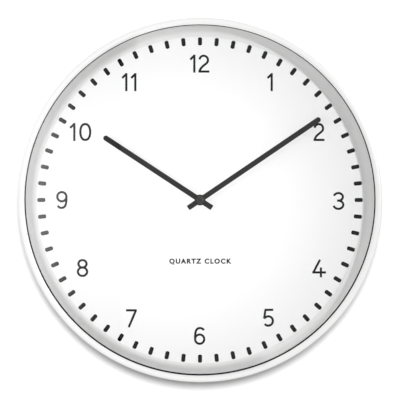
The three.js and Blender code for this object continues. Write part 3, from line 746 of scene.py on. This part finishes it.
def strokes_five():
    bowl = arc((4.45, 4.85), (3.85, 4.85 - LOW), 152, -142, 26)
    return 9.25, [
        ([(1.55, HIGH), (8.6, HIGH)], False),
        ([(2.0, HIGH), (1.0, 6.75)], False),
        (bowl, False),
    ]


def strokes_six():
    bowl = arc((4.75, 4.8), (4.75 - LOW, 4.8 - LOW), 0, 352, 44)
    over = arc((5.05, 10.55), (3.6, HIGH - 10.55), 28, 165, 14)
    side = bezier(over[-1], (0.98, 9.6), (LOW, 7.4), (LOW, 4.9), 10)
    return 9.5, [(bowl, True), (over + side[1:], False)]


def strokes_seven():
    return 9.1, [([(0, HIGH), (9.1, HIGH)], False), ([(8.35, HIGH), (2.3, 0)], False)]


def strokes_eight():
    waist = 7.95
    top = arc((4.8, (HIGH + waist) / 2), (3.4, (HIGH - waist) / 2), 0, 351, 39)
    bottom = arc((4.8, (LOW + waist) / 2), (3.88, (waist - LOW) / 2), 0, 351, 39)
    return 9.6, [(top, True), (bottom, True)]


def strokes_nine():
    """A six turned upside down."""
    width, six = strokes_six()
    return width, [
        ([(width - x, NUMERAL_HEIGHT - y) for x, y in line], closed) for line, closed in six
    ]


def strokes_zero():
    """A tall oval with slightly straightened sides."""
    power = 0.9
    points = []
    for angle in range(0, 360, 8):
        c, s = math.cos(math.radians(angle)), math.sin(math.radians(angle))
        x = 5.05 + (5.05 - LOW) * math.copysign(abs(c) ** power, c)
        y = NUMERAL_HEIGHT / 2 + (HIGH - LOW) / 2 * math.copysign(abs(s) ** power, s)
        points.append((x, y))
    return 10.1, [(points, True)]


DIGITS = {
    "0": strokes_zero, "1": strokes_one, "2": strokes_two, "3": strokes_three, "4": strokes_four,
    "5": strokes_five, "6": strokes_six, "7": strokes_seven, "8": strokes_eight, "9": strokes_nine,
}
GAPS = {"10": 3.2, "11": 2.5, "12": 2.4}  # clear space between the two figures
NUMERAL_CENTRES = {
    1: (58.5, 98.8), 2: (99.7, 57.0), 3: (116.0, -0.8), 4: (99.8, -57.3),
    5: (57.4, -98.7), 6: (-0.3, -113.9), 7: (-57.5, -99.1), 8: (-98.5, -57.0),
    9: (-115.8, 0.0), 10: (-100.3, 57.0), 11: (-59.6, 98.8), 12: (-0.5, 114.3),
}
WORD_HEIGHT = 5.5
WORD_SPACING = 1.3
WORD_BOLDNESS = 0.26
WORD_Y = -51.5


def numeral_meshes(text, centre):
    """The strokes of one hour's numeral, centred on a point of the dial."""
    gap = GAPS.get(text, 0)
    total = sum(DIGITS[figure]()[0] for figure in text) + gap * (len(text) - 1)
    left = centre[0] - total / 2
    base = centre[1] - NUMERAL_HEIGHT / 2
    meshes = []
    for figure in text:
        width, strokes = DIGITS[figure]()
        for level, (line, closed) in enumerate(strokes):
            moved = [(left + x, base + y) for x, y in line]
            meshes.append(ribbon_mesh("numeral", moved, STROKE, closed, level))
        left += width + gap
    return meshes


def hour_numerals():
    meshes = []
    for hour, centre in NUMERAL_CENTRES.items():
        meshes += numeral_meshes(str(hour), centre)
    piece = joined("hour_numerals", meshes)
    return finish_piece(piece, "dial_ink", "case", "dial")


def dial_word():
    """The plain words QUARTZ CLOCK, small and widely spaced, below the hands."""
    text = bpy.data.curves.new("dial_word", "FONT")
    text.body = "QUARTZ CLOCK"
    text.size = WORD_HEIGHT * MM
    text.space_character = WORD_SPACING
    text.offset = WORD_BOLDNESS * MM
    text.align_x = "CENTER"
    text.align_y = "CENTER"
    text.extrude = INK_THICKNESS / 2 * MM
    carrier = new_object("dial_word_text", text)
    mesh = evaluated_mesh(carrier)
    bpy.data.objects.remove(carrier)
    upright(mesh, WORD_Y, DIAL_FACE + INK_GAP + INK_THICKNESS / 2)
    mesh.name = "dial_word"
    piece = new_object("dial_word", mesh)
    return finish_piece(piece, "dial_ink", "case", "dial")


# ------------------------------------------------------------------ hands and cap

def hand_mesh(name, node, width):
    """A stamped hand along its CAD direction: square tail, round hub, straight blade, rounded tip."""
    angle, length = tip(node)
    half = width / 2
    meet = math.degrees(math.asin(half / HUB_RADIUS))
    outline = [
        (-half, -HAND_TAIL),
        (half, -HAND_TAIL),
        *arc((0, 0), HUB_RADIUS, -90 + meet, 90 - meet, 18),
        *arc((0, length - half), half, 0, 180, 14),
        *arc((0, 0), HUB_RADIUS, 90 + meet, 270 - meet, 18),
    ]
    turn = Matrix.Rotation(-angle, 2)
    front = depths(node)[1]
    turned_outline = [tuple(turn @ Vector(point)) for point in outline]
    return slab_mesh(name, [turned_outline], front - HAND_THICKNESS, front, 0.13)


def hand(name, node, body, width, bore):
    """The blade and the collet that grips its tube."""
    rear, front = depths(node)
    outer, end = bore + 1, front - 0.4
    collet = rounded([(bore, rear), (outer, rear), (outer, end), (bore, end)], 0.1)
    piece = joined(name, [hand_mesh(name, node, width), turned_mesh("collet", collet, 48)])
    return finish_piece(piece, "hands", body, "hands", node)


def cap_nut():
    rear, front = depths("hand_cap_nut")
    outer, hole, rounding, crown = radius("hand_cap_nut"), 1.7, 1.1, 0.8
    profile = [
        (hole, rear),
        (outer - 0.1, rear),
        (outer, rear + 0.1),
        *arc((outer - rounding, front - rounding), rounding, 0, 90, 8),
        (0, front),
        (0, front - crown),
        (hole, front - crown),
    ]
    piece = turned("hand_cap", profile, 64)
    return finish_piece(piece, "hand_cap", "minute", "hands", "hand_cap_nut")


# ------------------------------------------------------------------ back cover, screws and movement

def keyhole_outline():
    """Round entry below and narrow slot above, its end round the nail."""
    slot, entry, travel = 2.5, 5.25, 11
    top = -AXIS.z / MM
    bottom = top - travel
    meet = math.degrees(math.asin(slot / entry))
    return [
        *arc((0, top), slot, 0, 180, 14),
        *arc((0, bottom), entry, 90 + meet, 450 - meet, 36),
    ]


def back_cover():
    """Rear flange with keyhole and screw holes, the dial's skirt, and the movement's pocket."""
    flange_rear, seat = depths("back_cover")
    flange_front, foot = 4.6, 4.4  # the skirt and the walls start just inside the flange
    inside, outside = 34, 36
    skirt_inside, skirt_outside = 138.6, 140.6
    floor_rear, floor_front = 21.8, 23.2
    edge = radius("back_cover")
    holes = [circle(1.6, 24, place(node)) for node in screw_nodes()]
    outlines = [circle(edge, 192), square(inside, 1.5), keyhole_outline(), *holes]
    flange = slab_mesh("flange", outlines, flange_rear, flange_front, 0.3)
    section = [
        (skirt_inside, foot),
        (skirt_outside, foot),
        (skirt_outside, seat),
        (skirt_inside, seat),
    ]
    skirt = turned_mesh("skirt", rounded(section, 0.4), 192)
    walls = slab_mesh("pocket_walls", [square(outside, 3), square(inside, 1.5)], foot, seat, 0.3)
    floor_outlines = [square(inside + 0.4, 1.5), circle(4.3, 32)]
    floor = slab_mesh("pocket_floor", floor_outlines, floor_rear, floor_front, 0.2)
    piece = joined("back_cover_moulding", [flange, skirt, walls, floor])
    return finish_piece(piece, "back_plastic", "case", "back_plastic", "back_cover")


def screw(node):
    """Pan-head screw with a cross recess, its head towards the wall."""
    x, y = place(node)
    rear, point = depths(node)
    shoulder = rear + 1.7
    thread = []
    depth = shoulder + 0.6
    while depth < point - 2.6:
        thread += [(1.05, depth), (1.3, depth + 0.35), (1.05, depth + 0.7)]
        depth += 1.0
    profile = [
        (0, rear + 0.02),
        *arc((1.6, rear + 0.85), (1.2, 0.83), -90, 0, 8),
        (2.8, shoulder),
        (1.15, shoulder),
        *thread,
        (1.05, point - 2),
        (0.15, point),
        (0, point),
    ]
    piece = turned(f"{node}_pan_head", profile, 40, axis_at=(x, y), closed=False)
    recess = bpy.data.meshes.new("recess")
    cutter = bmesh.new()
    for reach in ((1.55, 0.3), (0.3, 1.55)):
        made = bmesh.ops.create_cube(cutter, size=1)
        size = Matrix.Diagonal((2 * reach[0] * MM, 2.0 * MM, 2 * reach[1] * MM, 1))
        where = Matrix.Translation(to_row(x, y, rear))
        bmesh.ops.transform(cutter, matrix=where @ size, verts=made["verts"])
    cutter.to_mesh(recess)
    cutter.free()
    tool = new_object("recess_tool", recess)
    cut = piece.modifiers.new("cross_recess", "BOOLEAN")
    cut.operation = "DIFFERENCE"
    cut.solver = "EXACT"
    cut.use_self = True
    cut.object = tool
    result = evaluated_mesh(piece)
    piece.modifiers.clear()
    piece.data = result
    shade(result)
    bpy.data.objects.remove(tool)
    return finish_piece(piece, "screw_steel", "case", "screw_steel", node)


def battery():
    """Steel can with a printed sleeve that is rolled over its ends."""
    low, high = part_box("aa_battery")
    left, right = low.x / MM, high.x / MM
    y, depth = place("aa_battery")[1], -middle("aa_battery").y / MM
    sleeve_radius, can_radius, nub_radius = 6.95, 6.7, 2.7
    shoulder = right - 1.1
    sleeve = [
        (can_radius - 0.5, left + 0.15),
        (sleeve_radius - 0.35, left + 0.05),
        *arc((sleeve_radius - 0.35, left + 0.4), 0.35, -90, 0, 4),
        *arc((sleeve_radius - 0.35, shoulder - 0.4), 0.35, 0, 90, 4),
        (can_radius - 0.5, shoulder - 0.1),
        (can_radius - 0.5, shoulder - 0.25),
        (can_radius, shoulder - 0.5),
        (can_radius, left + 0.55),
        (can_radius - 0.5, left + 0.3),
    ]
    wrap = turned("battery_sleeve", sleeve, 64, axis_at=(y, depth), along="x")
    finish_piece(wrap, "battery", "battery", "battery")
    can = [
        (0, left + 0.1),
        (4.6, left + 0.1),
        (5.0, left),
        *arc((can_radius - 0.65, left + 0.7), 0.6, -90, 0, 4),
        *arc((can_radius - 0.65, shoulder - 0.8), 0.6, 0, 60, 3),
        (5.4, shoulder - 0.15),
        (nub_radius + 0.6, shoulder),
        (nub_radius, shoulder + 0.2),
        *arc((nub_radius - 0.35, right - 0.35), 0.35, 0, 90, 4),
        (0, right),
    ]
    cell = turned("battery_can", can, 64, axis_at=(y, depth), along="x", closed=False)
    return finish_piece(cell, "battery_steel", "battery", "battery", "aa_battery")


def dress(node, material, bevel_mm):
    """A CAD piece whose shape is right gets a material, and the broken edges of a real part."""
    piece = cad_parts[node]
    piece.data.materials.clear()
    piece.data.materials.append(MATERIALS[material])
    fuse = piece.modifiers.new("fuse", "WELD")
    fuse.merge_threshold = 0.001 * MM
    if bevel_mm:
        edge = piece.modifiers.new("edge", "BEVEL")
        edge.width = bevel_mm * MM
        edge.segments = 2
        edge.limit_method = "ANGLE"
        edge.angle_limit = math.radians(SHARP_DEGREES)


KEPT = {
    "movement_front_case": ("movement_plastic", 0.25),
    "movement_rear_cover": ("movement_plastic", 0.25),
    "setting_knob": ("knob_plastic", 0.12),
    "threaded_bush": ("brass", 0.12),
    "brass_washer": ("brass", 0.1),
    "mounting_nut": ("brass", 0.2),
    "rubber_washer": ("rubber", 0.1),
    "stator": ("iron", 0.06),
    "coil_core": ("iron", 0.06),
    "coil_bobbin": ("gear_plastic", 0.08),
    "coil_winding": ("copper", 0.0),
    "circuit_board": ("circuit_board", 0.06),
    "chip_blob": ("epoxy", 0.0),
    "quartz_crystal": ("spring_steel", 0.15),
    "battery_contact_positive": ("spring_steel", 0.05),
    "battery_contact_negative": ("spring_steel", 0.05),
    "friction_spring": ("spring_steel", 0.05),
    "rotor_magnet": ("magnet", 0.1),
    "rotor_pinion": ("gear_plastic", 0.0),
    "intermediate_wheel": ("gear_plastic", 0.0),
    "second_wheel": ("gear_plastic", 0.0),
    "third_wheel": ("gear_plastic", 0.0),
    "centre_wheel": ("gear_plastic", 0.0),
    "cannon_pinion": ("gear_plastic", 0.0),
    "motion_wheel": ("gear_plastic", 0.0),
    "hour_wheel": ("gear_plastic", 0.0),
}


# ------------------------------------------------------------------ stage, light and camera

def collection_of(name, pieces):
    """A group to link lamps to. With more groups than these, Cycles at times left a lamp off the case."""
    group = bpy.data.collections.new(name)
    for piece in pieces:
        group.objects.link(piece)
    return group


def light_only(light, receivers):
    light.light_linking.receiver_collection = receivers


def shadows_only_from(light, blockers):
    light.light_linking.blocker_collection = blockers


def hide_from(item, *rays):
    for ray in rays:
        setattr(item, f"visible_{ray}", False)


def flat_sheet(name, corners, material):
    mesh = bpy.data.meshes.new(name)
    mesh.from_pydata(corners, [], [[0, 1, 2, 3]])
    mesh.update()
    sheet = new_object(name, mesh)
    sheet.data.materials.append(material)
    sheet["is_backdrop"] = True
    return sheet


def stage_white(name):
    """Matt white that is seen from its front only, so that wall and floor never hide the clock."""
    material, tree, shader = node_material(name)
    tone = ramp(tree, noise(tree, 6, 3), [(0.3, 0.89), (0.7, 0.91)])
    tree.links.new(tone, shader.inputs["Base Color"])
    shader.inputs["Roughness"].default_value = 1
    shader.inputs["Specular IOR Level"].default_value = 0
    back = tree.nodes.new("ShaderNodeNewGeometry").outputs["Backfacing"]
    clear = tree.nodes.new("ShaderNodeBsdfTransparent").outputs["BSDF"]
    send_mix(tree, back, shader.outputs["BSDF"], clear, tree.nodes["Material Output"])
    return material


def stage():
    """A white wall just behind the clock, and a pale floor below it."""
    half, back, level = 3.0, 0.0012, -0.62
    wall_corners = ((-half, level), (half, level), (half, half), (-half, half))
    floor_corners = ((-half, -half), (half, -half), (half, half), (-half, half))
    wall = flat_sheet("wall", [(x, back, z) for x, z in wall_corners], stage_white("wall_white"))
    floor = flat_sheet("floor", [(x, y, level) for x, y in floor_corners], stage_white("floor_white"))
    for sheet in (wall, floor):
        hide_from(sheet, "diffuse", "glossy", "transmission", "shadow")
    return wall, floor


def sun(name, towards, strength, angle_degrees):
    """A distant lamp; towards is the direction from the clock to the lamp."""
    data = bpy.data.lights.new(name, "SUN")
    data.energy = strength
    data.angle = math.radians(angle_degrees)
    lamp = new_object(name, data)
    lamp.rotation_euler = Vector(towards).to_track_quat("Z", "Y").to_euler()
    return lamp


def spot(name, position, strength, cone_degrees, blend):
    """A round beam on the clock's face, brightest in the middle."""
    data = bpy.data.lights.new(name, "SPOT")
    data.energy = strength
    data.spot_size = math.radians(cone_degrees)
    data.spot_blend = blend
    data.shadow_soft_size = 0.1
    lamp = new_object(name, data)
    lamp.location = position
    lamp.rotation_euler = (Vector(position) - to_row(-20, 0, 20)).to_track_quat("Z", "Y").to_euler()
    return lamp


def panel(name, position, size, strength):
    """A soft square lamp that faces the clock and that the camera can't see."""
    data = bpy.data.lights.new(name, "AREA")
    data.shape = "SQUARE"
    data.size = size
    data.energy = strength
    lamp = new_object(name, data)
    lamp.location = position
    lamp.rotation_euler = (Vector(position) - to_row(0, 0, 20)).to_track_quat("Z", "Y").to_euler()
    lamp.visible_camera = False
    return lamp


def glare_card():
    """A soft card left of the camera that fades in from its near edge. Only the lens shows it, because
    only the lens mirrors sharply."""
    material, tree, shader = node_material("card_glow")
    coordinates = tree.nodes.new("ShaderNodeTexCoord")
    separate = tree.nodes.new("ShaderNodeSeparateXYZ")
    tree.links.new(coordinates.outputs["Generated"], separate.inputs["Vector"])
    stops = [(0.905, 1.0), (0.932, 0.5), (0.955, 0.25), (1.0, 0.0)]
    fade = ramp(tree, separate.outputs["X"], stops)
    glow = tree.nodes.new("ShaderNodeEmission")
    sharp = tree.nodes.new("ShaderNodeLightPath").outputs["Is Singular Ray"]
    strength = arithmetic(tree, "MULTIPLY", fade, 2.0)
    for_lens = arithmetic(tree, "MULTIPLY", strength.outputs["Value"], sharp)
    tree.links.new(for_lens.outputs["Value"], glow.inputs["Strength"])
    tree.links.new(glow.outputs["Emission"], tree.nodes["Material Output"].inputs["Surface"])
    tree.nodes.remove(shader)
    near, far = (-0.075, -1.25), (-0.85, -1.15)  # x and y of its two upright edges
    low, high = AXIS.z - 0.65, AXIS.z + 0.45
    corners = [(*far, low), (*near, low), (*near, high), (*far, high)]
    card = flat_sheet("glare_card", corners, material)
    hide_from(card, "camera", "diffuse", "transmission", "shadow")


def left_flag(towards):
    """A thin crescent that keeps the key lamp's direct light off the left of the inner ring."""
    steps, distance, well_depth = 180, 430, 15
    inner_reach, outer_reach = 139.9, BEZEL_INNER + 0.5
    shift = well_depth * Vector((towards[0], towards[2])) / -towards[1]
    middle_angle = math.atan2(-shift.y, -shift.x)
    outline = []
    for reach, centre in ((inner_reach, Vector((0, 0))), (outer_reach, -shift)):
        for step in range(steps + 1):
            angle = middle_angle + math.radians(step - 90)
            outline.append(centre + Vector((math.cos(angle), math.sin(angle))) * reach)
    offset = Vector(towards).normalized() * distance * MM
    corners = [to_row(p.x, p.y, DIAL_FACE) + offset for p in outline]
    across = steps + 1
    faces = [[i, i + 1, i + 1 + across, i + across] for i in range(steps)]
    mesh = bpy.data.meshes.new("left_flag")
    mesh.from_pydata(corners, [], faces)
    mesh.update()
    flag = new_object("left_flag", mesh)
    flag.data.materials.append(stage_white("flag_white"))
    flag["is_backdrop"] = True
    hide_from(flag, "camera", "diffuse", "glossy", "transmission")
    return flag


def lights(wall, floor):
    meshes = [item for item in bpy.data.objects if item.type == "MESH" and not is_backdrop(item)]
    pieces = collection_of("pieces", meshes)
    key_direction = (0.525, -0.822, 0.212)
    shell = bpy.data.objects["case_ring_shell"]
    ring, seal = bpy.data.objects["inner_ring"], bpy.data.objects["lens_gasket"]
    case_only = collection_of("case_only", [shell])
    case_and_flag = collection_of("case_and_flag", [shell, ring, seal, left_flag(key_direction)])
    key = sun("key_sun", key_direction, 1.3, 0.8)
    light_only(key, pieces)
    shadows_only_from(key, case_and_flag)
    wall_sun = sun("wall_sun", (0.01, -1, 0.11), 2.85, 11)
    light_only(wall_sun, collection_of("wall_only", [wall]))
    shadows_only_from(wall_sun, pieces)
    floor_sun = sun("floor_sun", (0, 0, 1), 2.2, 20)
    light_only(floor_sun, collection_of("floor_only", [floor]))
    rim_sun = sun("rim_sun", (0.6, -0.65, -0.35), 0.32, 10)
    light_only(rim_sun, case_only)
    side_sun = sun("side_sun", (-0.9, 0.35, 0.3), 1.5, 20)
    light_only(side_sun, case_only)
    front = spot("front_spot", (-0.02, -3, AXIS.z), 175, 7.5, 0.6)
    left = panel("left_softbox", (-1.0, -1.0, AXIS.z + 0.1), 0.8, 3.6)
    for lamp in (front, left):
        lamp.visible_glossy = False
        light_only(lamp, pieces)
        shadows_only_from(lamp, pieces)
    behind = panel("rear_softbox", (0.9, 1.5, AXIS.z + 0.9), 1.0, 32)
    light_only(behind, pieces)
    shadows_only_from(behind, pieces)
    studio_world()


def studio_world():
    """Even soft light, and a brighter backdrop where the camera sees past wall and floor."""
    world = bpy.data.worlds.new("studio")
    world.use_nodes = True
    tree = world.node_tree
    soft_light, backdrop = tree.nodes["Background"], tree.nodes.new("ShaderNodeBackground")
    for background, strength in ((soft_light, 0.265), (backdrop, 0.55)):
        background.inputs["Color"].default_value = (1, 1, 1, 1)
        background.inputs["Strength"].default_value = strength
    seen = tree.nodes.new("ShaderNodeLightPath").outputs["Is Camera Ray"]
    shaders = soft_light.outputs["Background"], backdrop.outputs["Background"]
    send_mix(tree, seen, *shaders, tree.nodes["World Output"])
    bpy.context.scene.world = world


def camera():
    """Straight on to the dial, from far enough away to look almost flat."""
    distance, share_of_frame = 10.0, 364.5 / 400
    data = bpy.data.cameras.new("camera")
    data.sensor_width = 36
    data.clip_end = 100
    frame_width = 2 * CASE_RADIUS * MM / share_of_frame
    data.lens = data.sensor_width * (distance - CASE_FRONT * MM) / frame_width
    viewer = new_object("camera", data)
    viewer.location = AXIS + Vector((0, -distance, 0))
    viewer.rotation_euler = (math.pi / 2, 0, 0)
    bpy.context.scene.camera = viewer


def main():
    camera()
    case_ring()
    rehaut_ring()
    lens()
    lens_seal()
    dial()
    minute_marks()
    hour_numerals()
    dial_word()
    hand("hour_hand_blade", "hour_hand", "hour", 4.45, 2.6)
    hand("minute_hand_blade", "minute_hand", "minute", 4.35, 1.7)
    cap_nut()
    back_cover()
    for node in screw_nodes():
        screw(node)
    battery()
    for node, (material, bevel_mm) in KEPT.items():
        dress(node, material, bevel_mm)
    wall, floor = stage()
    glare_card()
    lights(wall, floor)
    bpy.context.scene.view_settings.view_transform = "Standard"


main()
